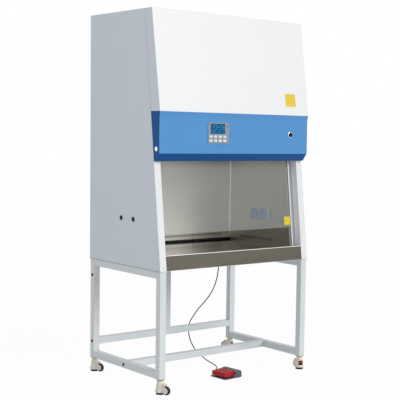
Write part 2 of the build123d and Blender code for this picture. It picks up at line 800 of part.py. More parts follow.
def key_barrel():
    """Turning barrel of the key switch with its keyway."""
    y = fascia_front_y
    barrel = rod(barrel_radius, 22 + barrel_proud, (lock_x, y - barrel_proud, lock_z), (0, 1, 0))
    barrel = chamfer(barrel.faces().sort_by(Axis.Y)[0].edges(), 1.5)
    slot = block(lock_x - 1.2, lock_x + 1.2, y - barrel_proud - 1, y + 8, lock_z - 5, lock_z + 5)
    return barrel - slot


# ---- stand ----------------------------------------------------------------------
leg_x = half_width - stand_inset - tube / 2
leg_y = rear_y - stand_inset - tube / 2
leg_top = base_z


def hollow_tube(x0, x1, y0, y1, z0, z1, along):
    """Square tube between two corners, open at both ends."""
    w = tube_wall
    cut = {"X": (0, w, w), "Y": (w, 0, w), "Z": (w, w, 0)}[along]
    more = {"X": (1, 0, 0), "Y": (0, 1, 0), "Z": (0, 0, 1)}[along]
    inner = block(x0 + cut[0] - more[0], x1 - cut[0] + more[0], y0 + cut[1] - more[1],
                  y1 - cut[1] + more[1], z0 + cut[2] - more[2], z1 - cut[2] + more[2])
    return block(x0, x1, y0, y1, z0, z1) - inner


def stand_side_frames():
    """Two welded rectangles: front leg, rear leg, top rail and bottom rail."""
    h = tube / 2
    pieces = []
    for y in (-leg_y, leg_y):
        pieces += both_sides(hollow_tube(leg_x - h, leg_x + h, y - h, y + h,
                                         caster_height, leg_top, "Z"))
    for z in (caster_height, leg_top - tube):
        pieces += both_sides(hollow_tube(leg_x - h, leg_x + h, -leg_y + h, leg_y - h,
                                         z, z + tube, "Y"))
    return pieces


def stand_crossbars():
    """Upper and lower rear bars, the middle floor bar and the upright between the rear bars."""
    h = tube / 2
    bars = []
    for y, z in ((leg_y, leg_top - h), (leg_y, rear_bar_z), (mid_bar_y, caster_height + h)):
        bars.append(hollow_tube(-leg_x + h, leg_x - h, y - h, y + h, z - h, z + h, "X"))
    bars.append(hollow_tube(-h, h, leg_y - h, leg_y + h, rear_bar_z + h, leg_top - tube, "Z"))
    return bars


# ---- levelling casters ----------------------------------------------------------
caster_places = {"front_left": (-leg_x, -leg_y, -90 + caster_turn),
                 "rear_left": (-leg_x, leg_y, -90 + caster_turn),
                 "front_right": (leg_x, -leg_y, 90 - caster_turn),
                 "rear_right": (leg_x, leg_y, 90 + caster_turn)}
plate_thickness = 5.0
pin_radius = 6.0
dome_top_z = caster_height - 10.0
window_low, window_high = 26.5, 55.0
skirt_radius = 30.0
skirt_z = foot_thickness + foot_up + 1.0
fork_gap = 0.8
fork_wall = 4.0


def caster_mount():
    """Zinc plate under the leg with a bearing disc and the swivel pin."""
    mount = block(-tube / 2, tube / 2, -tube / 2, tube / 2, caster_height - plate_thickness,
                  caster_height)
    mount = chamfer(mount.edges().filter_by(Axis.Z), 3)
    mount += Pos(0, 0, dome_top_z + 2.5) * Cylinder(17, 5)
    mount += Pos(0, 0, dome_top_z - 3) * Cylinder(pin_radius, 10)
    return mount


def caster_housing():
    """Cast swivel housing: flared skirt, dome with the dial window, wheel fork."""
    side = wheel_width / 2 + fork_gap
    dome = revolve(Plane.XZ * make_face(Polyline(
        (0, skirt_z), (skirt_radius, skirt_z), (skirt_radius, skirt_z + 5), (24.5, 28),
        (22.5, 56), (19, dome_top_z - 5), (17.5, dome_top_z), (0, dome_top_z), close=True)))
    cheek = Plane.XZ * make_hull([Pos(trail, wheel_radius) * Circle(17).edge(),
                                  Pos(4, 44) * Circle(17).edge()])
    fork = extrude(cheek, amount=side + fork_wall, both=True)
    bridge = block(0, trail - 4, -side - fork_wall, side + fork_wall, 52, 61)
    housing = dome + fork + bridge
    housing -= Pos(trail, 0, wheel_radius) * Rot(90, 0, 0) * Cylinder(wheel_radius + 2, 2 * side)
    housing += Pos(trail, 0, wheel_radius) * Rot(90, 0, 0) * Cylinder(
        axle_radius, 2 * (side + fork_wall + 1.5))
    housing -= Pos(0, 0, (window_low + window_high) / 2) * Cylinder(
        dial_radius + 1.5, window_high - window_low)
    housing -= block(-40, 0, -15, 15, window_low, window_high)
    housing -= Pos(0, 0, skirt_z) * Cylinder(stem_radius + axle_play, 40)
    housing -= Pos(0, 0, window_high + 4) * Cylinder(stem_radius + axle_play, 10)
    housing -= Pos(0, 0, dome_top_z - 4) * Cylinder(pin_radius + axle_play, 8.2)
    return housing


def caster_wheel():
    """Wheel with a rounded tread and dished sides on its axle."""
    w = wheel_width / 2
    profile = make_face(Polyline((axle_radius + axle_play, -w), (10, -w), (13, -w + 3),
                                 (18, -w + 3), (20, -w + 0.5), (23, -w + 0.5),
                                 (wheel_radius, -w + 4), (wheel_radius, w - 4), (23, w - 0.5),
                                 (20, w - 0.5), (18, w - 3), (13, w - 3), (10, w),
                                 (axle_radius + axle_play, w), close=True))
    wheel = revolve(Plane.XY * profile, axis=Axis.Y)
    return Pos(trail, 0, wheel_radius) * wheel


def levelling_foot():
    """Rubber-soled foot on a threaded stem with the red adjusting dial."""
    foot = Pos(0, 0, foot_thickness / 2) * Cylinder(foot_radius, foot_thickness)
    foot = chamfer(foot.edges().group_by(Axis.Z)[-1], 2)
    top = window_high + 1.5
    foot += Pos(0, 0, (foot_thickness + top) / 2 - 1) * Cylinder(stem_radius, top - foot_thickness + 2)
    dial = Pos(0, 0, dial_z + dial_thickness / 2) * Cylinder(dial_radius, dial_thickness)
    for i in range(dial_groove_rows):
        dial -= Rot(0, 0, i * 360 / dial_groove_rows) * Pos(dial_radius + 1, 0, dial_z + dial_thickness / 2) \
            * Cylinder(2.4, dial_thickness + 1)
    return foot + dial


def place_caster(piece, where):
    x, y, turn = caster_places[where]
    return Pos(x, y, 0) * Rot(0, 0, turn) * piece


# ---- foot switch ----------------------------------------------------------------
treadle_hinge_x = 14.0
treadle_hinge_z = 17.0
switch_pin = 3.0
treadle_half = 57.0
treadle_clear = 13.5         # under the toe, so that it can go down
treadle_groove_rows = 4
groove_pitch = 12.0
port_x = 30.0                # cord entry, along the switch
cord_port_z = 14.0


def at_switch(piece):
    return Pos(pedal_x, pedal_y, 0) * Rot(0, 0, pedal_turn) * piece


def foot_switch_base():
    """Floor plate, rounded dark housing behind the hinge and two bearing cheeks."""
    hx, hy = pedal_length / 2, pedal_width / 2
    plate = fillet(block(-hx, hx, -hy, hy, 0, pedal_base).edges().filter_by(Axis.Z), 12)
    near = treadle_hinge_x + 9
    housing = extrude(Plane.XZ.offset(-hy + 2) * make_face(Polyline(
        (near, pedal_base - 1), (hx - 2, pedal_base - 1), (hx - 5, pedal_height - 6),
        (hx - 16, pedal_height), (near + 5, pedal_height), (near, pedal_height - 4),
        close=True)), amount=2 * (hy - 2))
    housing = fillet(housing.faces().sort_by(Axis.Z)[-1].edges().filter_by(Axis.X), 3)
    base = plate + housing
    for y in (treadle_half + 1, -treadle_half - 9):
        cheek = extrude(Plane.XZ.offset(-y - 8) * make_hull(
            [Pos(treadle_hinge_x, treadle_hinge_z) * Circle(8).edge(),
             Line((treadle_hinge_x - 14, pedal_base - 1), (treadle_hinge_x + 12, pedal_base - 1))]),
            amount=8)
        base += cheek
    base += Pos(treadle_hinge_x, 0, treadle_hinge_z) * Rot(90, 0, 0) * Cylinder(
        switch_pin, 2 * treadle_half + 4)
    base += rod(6, 6, (port_x, hy - 3, cord_port_z), (0, 1, 0))
    return at_switch(base)


def treadle():
    """Chunky red pedal with a grooved top, hinged on the base's pin."""
    toe, heel = -pedal_length / 2 + 4, treadle_hinge_x + 5
    toe_top, heel_top = pedal_height - 6, pedal_height - 2
    wedge = extrude(Plane.XZ.offset(-treadle_half) * make_face(Polyline(
        (heel, 12), (heel, heel_top - 3), (heel - 5, heel_top), (toe + 6, toe_top),
        (toe, toe_top - 5), (toe, treadle_clear), (treadle_hinge_x - 8, 9.5),
        close=True)), amount=2 * treadle_half)
    wedge = fillet(wedge.edges().filter_by(Axis.Z), 5)
    wedge -= Pos(treadle_hinge_x, 0, treadle_hinge_z) * Rot(90, 0, 0) * Cylinder(
        switch_pin + axle_play, 3 * treadle_half)
    rise = (heel_top - toe_top) / (heel - 5 - toe - 6)
    for i in range(treadle_groove_rows):
        x = toe + 18 + i * groove_pitch
        top = toe_top + rise * (x - toe - 6)
        wedge -= block(x - 1, x + 1, -treadle_half + 8, treadle_half - 8, top - 1.2, top + 5)
    return at_switch(wedge)


# ---- foot switch cord -----------------------------------------------------------
# Route by hand: down from the gland, back over the lower rear bar, down to the floor
# and forward to the foot switch.
port = at_switch(Pos(port_x, pedal_width / 2 + 3, cord_port_z) * Sphere(1)).center()
port_lead = at_switch(Pos(port_x, pedal_width / 2 + 43, cord_port_z) * Sphere(1)).center()
floor_z = cord_diameter / 2 + 0.2
cord_route = [(cord_exit_x, cord_exit_y, base_z + sheet - 18),
              (cord_exit_x, cord_exit_y, 620), (215, 96, 562), (215, 116, 508), (215, 146, 458),
              (215, 186, 412), (214, 232, 370), (214, 280, 331), (213, 322, 290),
              (213, 356, 252), (214, 386, 222), (215, 399, 182), (215, 400, 136),
              (216, 382, 94), (217, 346, 54), (219, 300, 20), (222, 244, floor_z),
              (200, 190, floor_z), (180, 132, floor_z), (163, 70, floor_z),
              (143, 9, floor_z), (113, -47, floor_z), (68, -88, 8),
              (port_lead.X, port_lead.Y, port_lead.Z), (port.X, port.Y, cord_port_z)]


def corner_radii(points):
    """Largest arc at each corner: 0.45 of the shorter run over the tangent of half the turn."""
    radii = []
    for a, b, c in zip(points, points[1:], points[2:]):
        before, after = Vector(*b) - Vector(*a), Vector(*c) - Vector(*b)
        turn = radians(before.get_angle(after))
        radii.append(0.45 * min(before.length, after.length) / tan(turn / 2))
    return radii


def foot_switch_cord():
    radii = corner_radii(cord_route)
    path = FilletPolyline(*cord_route, radius=radii)
    section = Plane(origin=path @ 0, z_dir=path % 0) * Circle(cord_diameter / 2)
    cord = sweep(section, path=path)
    runs = [(Vector(*b) - Vector(*a)).length for a, b in zip(cord_route, cord_route[1:])]
    print("cord runs", [round(r) for r in runs])
    print("cord radii", [round(r) for r in radii], "length", round(path.length))
    print("cord volume over section x length",
          round(cord.volume / (pi * cord_diameter ** 2 / 4 * path.length), 4))
    return cord


# ---- write every sub-part -------------------------------------------------------
right_panel = side_panel()
save("side_panel_right", right_panel)
save("side_panel_left", mirror(right_panel, about=Plane.YZ))
save("rear_panel", rear_panel())
save("top_panel", top_panel())
save("exhaust_grille", exhaust_grille())
save("base_pan", base_pan())
save("cable_glands", cable_glands())
save("front_posts", both_sides(front_post()))
save("black_plugs", plugs())
save("front_sump", front_sump())
save("intake_grille", intake_grille())
save("work_tray", work_tray())
save("rear_liner", rear_liner())
save("side_liners", side_liners())
save("socket_bodies", socket_bodies())
for lid_name, lid_y in zip(("socket_lid_rear", "socket_lid_front"), socket_y):
    save(lid_name, socket_lid(lid_y))
save("sash_guides", both_sides(sash_guide()))
save("sash_glass", sash_glass())
save("sash_carrier", sash_carrier())
save("sash_motor", sash_motor())
save("diffuser_screen", diffuser_screen())
save("supply_filter", supply_filter())
save("exhaust_filter", exhaust_filter())
save("plenum_box", plenum_box())
save("fan_motor", fan_motor())
save("fan_impeller", fan_impeller())
save("lamp_tubes", lamp_tubes())
save("upper_cover", upper_cover())
save("control_fascia", control_fascia())
save("control_module", control_module())
save("display_screen", display_screen())
save("lock_fittings", lock_fittings())
save("key_barrel", key_barrel())
for number, (key_x, key_z) in enumerate(key_places(), 1):
    save(f"control_key_{number}", control_key(key_x, key_z))
save("stand_side_frames", stand_side_frames())
save("stand_crossbars", stand_crossbars())
save("caster_mounts", [Pos(x, y, 0) * caster_mount() for x, y, _ in caster_places.values()])
for where in caster_places:
    save("caster_housing_" + where, place_caster(caster_housing(), where))
    save("caster_wheel_" + where, place_caster(caster_wheel(), where))
    save("levelling_foot_" + where, place_caster(levelling_foot(), where))
save("foot_switch_base", foot_switch_base())
save("treadle", treadle())
save("foot_switch_cord", foot_switch_cord())
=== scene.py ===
import bpy
from math import cos, pi, radians, sin
from mathutils import Matrix, Vector


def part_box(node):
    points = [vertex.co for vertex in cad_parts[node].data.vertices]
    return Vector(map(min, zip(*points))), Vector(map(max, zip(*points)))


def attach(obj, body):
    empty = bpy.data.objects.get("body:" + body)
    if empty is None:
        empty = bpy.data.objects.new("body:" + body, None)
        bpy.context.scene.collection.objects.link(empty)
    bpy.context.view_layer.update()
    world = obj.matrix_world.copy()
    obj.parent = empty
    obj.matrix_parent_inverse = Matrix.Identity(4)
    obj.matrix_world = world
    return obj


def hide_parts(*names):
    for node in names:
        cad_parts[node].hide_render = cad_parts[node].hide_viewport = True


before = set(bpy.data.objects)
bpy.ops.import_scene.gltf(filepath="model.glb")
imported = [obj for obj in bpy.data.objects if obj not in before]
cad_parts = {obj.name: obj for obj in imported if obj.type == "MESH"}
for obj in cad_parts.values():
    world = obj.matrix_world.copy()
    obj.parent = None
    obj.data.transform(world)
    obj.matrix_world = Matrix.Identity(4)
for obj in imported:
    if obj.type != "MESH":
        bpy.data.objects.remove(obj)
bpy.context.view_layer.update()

# Places and sizes below are metres in the CAD row's own frame: +Z up, -Y the operator's side.
cabinet = dict(front=-0.375, base=0.692, top=2.146, lean=0.12, halfWidth=0.550)
photo = dict(place=(-3.7365, -5.0012, 1.4700), yaw=40.883, pitch=-5.086, roll=1.123,
             lens=91.745, shift=(-0.1832, 0.0601))
sunLight = dict(strength=1.42, angle=28.0, toward=(0.36, -0.84, 0.42))
fillLight = dict(power=17.0, size=2.6, place=(-3.6, -1.2, 2.6), aim=(0.0, 0.0, 1.1))
worldLight = dict(onSurfaces=0.44, seen=1.0)
floorPlane = dict(half=30.0, albedo=0.93, ownWhite=0.965)

# Colours are linear.
# side is the white enamel made darker and bluer: painted shade of the cabinet's sides turned from the key
# light.
paint = dict(cover=(0.89, 0.90, 0.91), side=(0.655, 0.72, 0.785), post=(0.84, 0.85, 0.86),
             insideShade=(0.12, 0.125, 0.13), seam=(0.25, 0.27, 0.30), stand=(0.71, 0.755, 0.775))
steel = dict(sheet=(0.50, 0.485, 0.44), lip=(0.098, 0.091, 0.074), work=(0.42, 0.41, 0.38),
             zinc=(0.62, 0.63, 0.64), hemHighlight=(0.80, 0.79, 0.75), edge=(0.86, 0.84, 0.83),
             aluminium=(0.62, 0.66, 0.72), passivated=(0.36, 0.31, 0.16), chrome=(0.86, 0.87, 0.88))
plastic = dict(fascia=(0.105, 0.32, 0.66), fasciaShade=(0.0005, 0.078, 0.29), module=(0.27, 0.32, 0.37),
               key=(0.80, 0.83, 0.85), socket=(0.62, 0.66, 0.70), lid=(0.05, 0.20, 0.56),
               black=(0.012, 0.012, 0.013), cheek=(0.42, 0.42, 0.41), plug=(0.004, 0.004, 0.005),
               fan=(0.02, 0.02, 0.022), caster=(0.80, 0.76, 0.68), dial=(0.50, 0.02, 0.015),
               switch=(0.085, 0.085, 0.13), treadle=(0.46, 0.008, 0.008), rubber=(0.018, 0.018, 0.018),
               cord=(0.035, 0.037, 0.042), yellow=(0.80, 0.60, 0.015))


class Wire:
    def __init__(self, tree, socket):
        self.tree = tree
        self.socket = socket

    def math(self, operation, *others):
        return mathNode(self.tree, operation, self, *others)

    def __add__(self, other):
        return self.math("ADD", other)

    def __radd__(self, other):
        return self.math("ADD", other)

    def __sub__(self, other):
        return self.math("SUBTRACT", other)

    def __rsub__(self, other):
        return mathNode(self.tree, "SUBTRACT", other, self)

    def __mul__(self, other):
        return self.math("MULTIPLY", other)

    def __rmul__(self, other):
        return self.math("MULTIPLY", other)

    def __truediv__(self, other):
        return self.math("DIVIDE", other)

    def above(self, edge, softness):
        return ((self - edge) / softness + 0.5).math("MAXIMUM", 0.0).math("MINIMUM", 1.0)

    def below(self, edge, softness):
        return 1.0 - self.above(edge, softness)


def feed(tree, socket, value):
    if isinstance(value, Wire):
        tree.links.new(value.socket, socket)
    elif isinstance(value, tuple) and len(value) == 3 and len(socket.default_value) == 4:
        socket.default_value = (*value, 1.0)
    else:
        socket.default_value = value


def mathNode(tree, operation, *values):
    unit = tree.nodes.new("ShaderNodeMath")
    unit.operation = operation
    for place, value in enumerate(values):
        feed(tree, unit.inputs[place], value)
    return Wire(tree, unit.outputs[0])


class Graph:
    def node(self, kind, outlet=0, inputs=(), **settings):
        unit = self.tree.nodes.new(kind)
        for name, value in settings.items():
            setattr(unit, name, value)
        for name, value in dict(inputs).items():
            feed(self.tree, unit.inputs[name], value)
        return Wire(self.tree, unit.outputs[outlet])


class Finish(Graph):
    def __init__(self, name, **constants):
        self.material = bpy.data.materials.new(name)
        self.material.use_nodes = True
        self.tree = self.material.node_tree
        self.shader = self.tree.nodes["Principled BSDF"]
        self.output = self.tree.nodes["Material Output"]
        self.set(**constants)

    def set(self, **values):
        for name, value in values.items():
            feed(self.tree, self.shader.inputs[name.replace("_", " ")], value)

    def place(self):
        return self.node("ShaderNodeTexCoord", "Object")

    def split(self):
        unit = self.tree.nodes.new("ShaderNodeSeparateXYZ")
        feed(self.tree, unit.inputs[0], self.place())
        return [Wire(self.tree, outlet) for outlet in unit.outputs]

    def noise(self, scale, detail=3.0, roughness=0.5, stretch=(1.0, 1.0, 1.0)):
        spread = self.node("ShaderNodeVectorMath", inputs={0: self.place(), 1: stretch},
                           operation="MULTIPLY")
        return self.node("ShaderNodeTexNoise", "Fac", {"Vector": spread, "Scale": scale, "Detail": detail,
                                                       "Roughness": roughness})

    def mix(self, amount, first, second):
        unit = self.tree.nodes.new("ShaderNodeMix")
        unit.data_type = "RGBA"
        feed(self.tree, unit.inputs[0], amount)
        feed(self.tree, unit.inputs[6], first)
        feed(self.tree, unit.inputs[7], second)
        return Wire(self.tree, unit.outputs[2])

    def tint(self, colour, spread, amount):
        darker = tuple(channel * (1.0 - amount) for channel in colour)
        lighter = tuple(min(1.0, channel * (1.0 + amount)) for channel in colour)
        return self.mix(spread, darker, lighter)

    def bump(self, height, strength, distance):
        self.set(Normal=self.node("ShaderNodeBump", "Normal",
                                  {"Height": height, "Strength": strength, "Distance": distance}))


enamel = dict(gloss=0.42, roughness=0.42, patchiness=0.10, tone=0.02, grain=900.0, depth=0.0004)


def enamelSkin(coat, colour, cloud):
    coat.set(Base_Color=colour, Roughness=enamel["roughness"] + (cloud - 0.5) * enamel["patchiness"])
    coat.bump(coat.noise(enamel["grain"], 2.0, 0.6), 0.10, enamel["depth"])
    return coat.material


def powderCoat(name, colour):
    coat = Finish(name, Specular_IOR_Level=enamel["gloss"])
    cloud = coat.noise(3.0, 4.0)
    return enamelSkin(coat, coat.tint(colour, cloud, enamel["tone"]), cloud)


def brushedSteel(name, colour, roughness, stretch, streak=0.10):
    metal = Finish(name, Metallic=1.0)
    fine = metal.noise(60.0, 3.0, 0.5, stretch)
    cloud = metal.noise(2.4, 3.0)
    metal.set(Base_Color=metal.tint(colour, fine, 0.05),
              Roughness=roughness + (fine - 0.5) * streak + (cloud - 0.5) * 0.08)
    metal.bump(fine, 0.05, 0.0001)
    return metal.material


def coverEnamel():
    coat = Finish("cover_enamel", Specular_IOR_Level=enamel["gloss"])
    # The cover's side faces take the darker, bluer side colour: painted shade on the cover's sides.
    cheek = coat.split()[0].math("ABSOLUTE").above(cabinet["halfWidth"] - 0.0010, 0.0004)
    cloud = coat.noise(3.0, 4.0)
    white, grey = (coat.tint(paint[name], cloud, enamel["tone"]) for name in ("cover", "side"))
    return enamelSkin(coat, coat.mix(cheek, white, grey), cloud)


# Above hemHighlightFoot the lip is painted pale steel: a painted highlight along the lip's top edge.
lip = dict(hemHighlightFoot=0.7775, brush=(0.15, 22.0, 22.0), stains=(1.0, 1.0, 3.0))


def lipSteel():
    metal = Finish("lip_steel", Metallic=1.0)
    fine = metal.noise(60.0, 3.0, 0.5, lip["brush"])
    cloud = metal.noise(5.0, 4.0, 0.6, lip["stains"])
    # The strip over the lip's top hem is painted pale and smoother: a painted highlight, not a colour of the
    # steel.
    hemHighlight = metal.split()[2].above(lip["hemHighlightFoot"], 0.0008)
    metal.set(Base_Color=metal.mix(hemHighlight, metal.tint(steel["lip"], cloud, 0.22), steel["hemHighlight"]),
              Roughness=0.44 - hemHighlight * 0.10 + (fine - 0.5) * 0.08 + (cloud - 0.5) * 0.10)
    metal.bump(fine, 0.05, 0.0001)
    return metal.material


worktop = dict(rimFrom=0.4625, brush=(0.6, 20.0, 20.0), roughness=0.13, rimDulling=0.20)


def worktopSteel():
    metal = Finish("worktop_steel")
    fine = metal.noise(60.0, 3.0, 0.5, worktop["brush"])
    cloud = metal.noise(2.4, 3.0)
    # Past rimFrom the tray and grille ends are painted pale and barely metallic: a painted highlight along
    # the rims.
    rim = metal.split()[0].math("ABSOLUTE").above(worktop["rimFrom"], 0.001)
    metal.set(Base_Color=metal.mix(rim, metal.tint(steel["work"], fine, 0.05), steel["edge"]),
              Metallic=1.0 - rim * 0.85,
              Roughness=worktop["roughness"] + rim * worktop["rimDulling"] + (fine - 0.5) * 0.05
              + (cloud - 0.5) * 0.08)
    metal.bump(fine, 0.05, 0.0001)
    return metal.material


guide = dict(highlightWithin=0.4865, brush=(26.0, 26.0, 0.2))


def guideAluminium():
    metal = Finish("anodised_aluminium", Metallic=1.0)
    # Inside this width the guides' inner lips are painted pale and rougher: a painted highlight along the
    # guides.
    paleHighlight = metal.split()[0].math("ABSOLUTE").below(guide["highlightWithin"], 0.001)
    fine = metal.noise(60.0, 3.0, 0.5, guide["brush"])
    metal.set(Base_Color=metal.mix(paleHighlight, metal.tint(steel["aluminium"], fine, 0.08), steel["edge"]),
              Roughness=0.30 + paleHighlight * 0.10 + (fine - 0.5) * 0.10)
    metal.bump(fine, 0.05, 0.0001)
    return metal.material


# The painted sheets are painted dark grey on their inner faces: painted shade inside the closed cabinet.
shadedInside = dict(halfWidth=0.5485, back=0.3725, front=-0.20, foot=0.700, underRoof=0.0008, seam=0.003)


def panelEnamel():
    coat = Finish("panel_enamel", Specular_IOR_Level=enamel["gloss"])
    x, y, z = coat.split()
    # The inner faces get the dark grey: painted shade, the same enamel inside as out.
    inside = (x.math("ABSOLUTE").below(shadedInside["halfWidth"], 0.0002) * y.below(shadedInside["back"], 0.0002)
              * z.below(cabinet["top"] - shadedInside["underRoof"], 0.0002) * z.above(shadedInside["foot"], 0.001)
              * y.above(shadedInside["front"], 0.001))
    seam = z.below(cabinet["base"] + shadedInside["seam"], 0.0005)
    cloud = coat.noise(3.0, 4.0)
    face = coat.mix(seam, coat.tint(paint["side"], cloud, enamel["tone"]), paint["seam"])
    return enamelSkin(coat, coat.mix(inside, face, paint["insideShade"]), cloud)


def galvanised(name, colour):
    metal = Finish(name, Metallic=1.0)
    spangle = metal.node("ShaderNodeTexVoronoi", "Color", {"Vector": metal.place(), "Scale": 70.0})
    grey = metal.node("ShaderNodeRGBToBW", inputs={0: spangle})
    metal.set(Base_Color=metal.tint(colour, grey, 0.12), Roughness=0.38 + (grey - 0.5) * 0.20)
    return metal.material


def moulded(name, colour, roughness, grain=0.12, size=700.0, gloss=0.5):
    skin = Finish(name, Specular_IOR_Level=gloss)
    cloud = skin.noise(14.0, 4.0)
    texture = skin.noise(size, 2.0, 0.6)
    skin.set(Base_Color=skin.tint(colour, cloud, 0.05), Roughness=roughness + (cloud - 0.5) * 0.12)
    skin.bump(texture, grain, 0.0003)
    return skin.material


fascia = dict(chinTop=0.655, cheek=0.0015)


def fasciaPlastic():
    skin = Finish("fascia_plastic", Specular_IOR_Level=0.15)
    x, y, z = skin.split()
    # The chin turned down and the fascia's side faces are painted dark blue: painted shade on one moulding.
    shadedChin = z.below(cabinet["base"] + fascia["chinTop"], 0.002)
    side = x.math("ABSOLUTE").above(cabinet["halfWidth"] - fascia["cheek"], 0.001)
    cloud = skin.noise(5.0, 3.0)
    face = skin.tint(plastic["fascia"], cloud, 0.03)
    skin.set(Base_Color=skin.mix(shadedChin.math("MAXIMUM", side), face, plastic["fasciaShade"]),
             Roughness=0.32 + (cloud - 0.5) * 0.06)
    skin.bump(skin.noise(800.0, 2.0), 0.05, 0.0003)
    return skin.material


caster = dict(x=0.527, y=0.352, dialFoot=0.037, dialTop=0.049, hollowRadius=0.0203, hollowFoot=0.0262,
              hollowTop=0.0553, cheekRadius=0.0155)
wheelTurn = dict(front_left=-75.0, rear_left=-75.0, front_right=75.0, rear_right=105.0)


def dialAndSole():
    skin = Finish("levelling_foot", Specular_IOR_Level=0.45)
    height = skin.split()[2]
    dial = height.above(caster["dialFoot"], 0.001) * height.below(caster["dialTop"], 0.001)
    cloud = skin.noise(40.0, 3.0)
    skin.set(Base_Color=skin.mix(dial, skin.tint(plastic["rubber"], cloud, 0.2), plastic["dial"]),
             Roughness=0.62 - dial * 0.25 + (cloud - 0.5) * 0.1)
    skin.bump(skin.noise(500.0, 2.0), 0.1, 0.0003)
    return skin.material


def casterShell():
    skin = Finish("caster_shell", Specular_IOR_Level=0.45)
    x, y, z = skin.split()
    along = x.math("ABSOLUTE") - caster["x"]
    across = y.math("ABSOLUTE") - caster["y"]
    fromPin = (along * along + across * across).math("SQRT")
    # The hollow round the caster's pin is painted black: painted shade in the recess.
    hollowShade = (fromPin.below(caster["hollowRadius"], 0.0003)
              * z.above(caster["hollowFoot"], 0.0002) * z.below(caster["hollowTop"], 0.0002))
    cloud = skin.noise(14.0, 4.0)
    skin.set(Base_Color=skin.mix(hollowShade, skin.tint(plastic["caster"], cloud, 0.05), plastic["black"]),
             Roughness=0.28 + hollowShade * 0.30 + (cloud - 0.5) * 0.12)
    skin.bump(skin.noise(700.0, 2.0, 0.6), 0.04, 0.0003)
    return skin.material


def wheelFinish(corner):
    lower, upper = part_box(f"caster_wheel_{corner}")
    centre = (Vector(lower) + Vector(upper)) / 2
    turn = radians(wheelTurn[corner])
    skin = Finish(f"wheel_{corner}", Specular_IOR_Level=0.4)
    x, y, z = skin.split()
    along = (x - centre.x) * cos(turn) + (y - centre.y) * sin(turn)
    radius = (along * along + (z - centre.z) * (z - centre.z)).math("SQRT")
    cheek = radius.below(caster["cheekRadius"], 0.0006)
    cloud = skin.noise(40.0, 3.0)
    skin.set(Base_Color=skin.mix(cheek, skin.tint(plastic["black"], cloud, 0.2), plastic["cheek"]),
             Roughness=0.5 - cheek * 0.12 + (cloud - 0.5) * 0.1)
    skin.bump(skin.noise(500.0, 2.0), 0.08, 0.0003)
    return skin.material


def sashGlass():
    pane = Finish("sash_glass", Specular_IOR_Level=0.5, IOR=1.5)
    cloud = pane.noise(1.6, 2.0)
    edge = pane.node("ShaderNodeLayerWeight", "Fresnel", {"Blend": 0.25})
    pane.set(Base_Color=pane.tint((0.72, 0.76, 0.74), cloud, 0.04),
             Roughness=0.03 + cloud * 0.02, Alpha=0.12 + edge * 0.38)
    return pane.material


display = dict(left=-0.1995, width=0.1265, foot=0.766, height=0.058, rows=5.0, columns=21.0,
               rowShift=0.37, ink=(0.06, 0.42, 0.46), frame=(0.0, 0.085, 0.33), field=(0.0, 0.105, 0.29),
               bezel=(0.03, 0.035, 0.05), unlit=(0.001, 0.012, 0.03))


# The rows are plain blocks, with no letters or figures.
def litDisplay():
    panel = Finish("display", Roughness=0.18, Specular_IOR_Level=0.15)
    x, y, z = panel.split()
    across = (x - display["left"]) / display["width"]
    up = (z - (cabinet["base"] + display["foot"])) / display["height"]
    field = (across.above(0.02, 0.01) * across.below(0.98, 0.01)
             * up.above(0.04, 0.02) * up.below(0.96, 0.02))
    lines = up * display["rows"]
    letters = across * display["columns"] + lines.math("FLOOR") * display["rowShift"]
    row = lines.math("FRACT")
    cell = letters.math("FRACT")
    block = row.above(0.30, 0.06) * row.below(0.72, 0.06) * cell.above(0.22, 0.08) * cell.below(0.84, 0.08)
    scatter = panel.node("ShaderNodeTexWhiteNoise", "Value",
                         {"Vector": panel.node("ShaderNodeCombineXYZ", inputs={
                             0: (letters / 2.0).math("FLOOR"), 1: lines.math("FLOOR")})})
    inner = across.above(0.10, 0.02) * across.below(0.88, 0.02) * up.above(0.10, 0.02) * up.below(0.94, 0.02)
    ink = block * scatter.above(0.60, 0.01) * inner
    glow = panel.mix(ink, panel.mix(inner, display["frame"], display["field"]), display["ink"])
    panel.set(Base_Color=panel.mix(field, display["bezel"], display["unlit"]),
              Emission_Color=panel.mix(field, (0.0, 0.0, 0.0), glow), Emission_Strength=0.85)
    return panel.material


lamp = dict(halfLength=0.418, strength=1.4, glow=(1.0, 0.98, 0.92), glass=(0.86, 0.88, 0.86),
            holder=(0.5, 0.5, 0.5))


def lampGlass():
    tube = Finish("lamp_tube", Emission_Strength=lamp["strength"], Roughness=0.3)
    ends = tube.split()[0].math("ABSOLUTE").above(lamp["halfLength"], 0.002)
    cloud = tube.noise(8.0, 2.0)
    tube.set(Base_Color=tube.mix(ends, tube.tint(lamp["glass"], cloud, 0.02), lamp["holder"]),
             Emission_Color=tube.mix(ends, lamp["glow"], (0.0, 0.0, 0.0)))
    return tube.material


def filterPaper():
    paper = Finish("filter_paper", Roughness=0.85)
    fibre = paper.noise(300.0, 4.0, 0.7)
    paper.set(Base_Color=paper.tint((0.78, 0.77, 0.72), fibre, 0.08))
    paper.bump(fibre, 0.25, 0.0005)
    return paper.material


def assign(material, *nodes):
    for name in nodes:
        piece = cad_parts[name]
        piece.data.materials.clear()
        piece.data.materials.append(material)


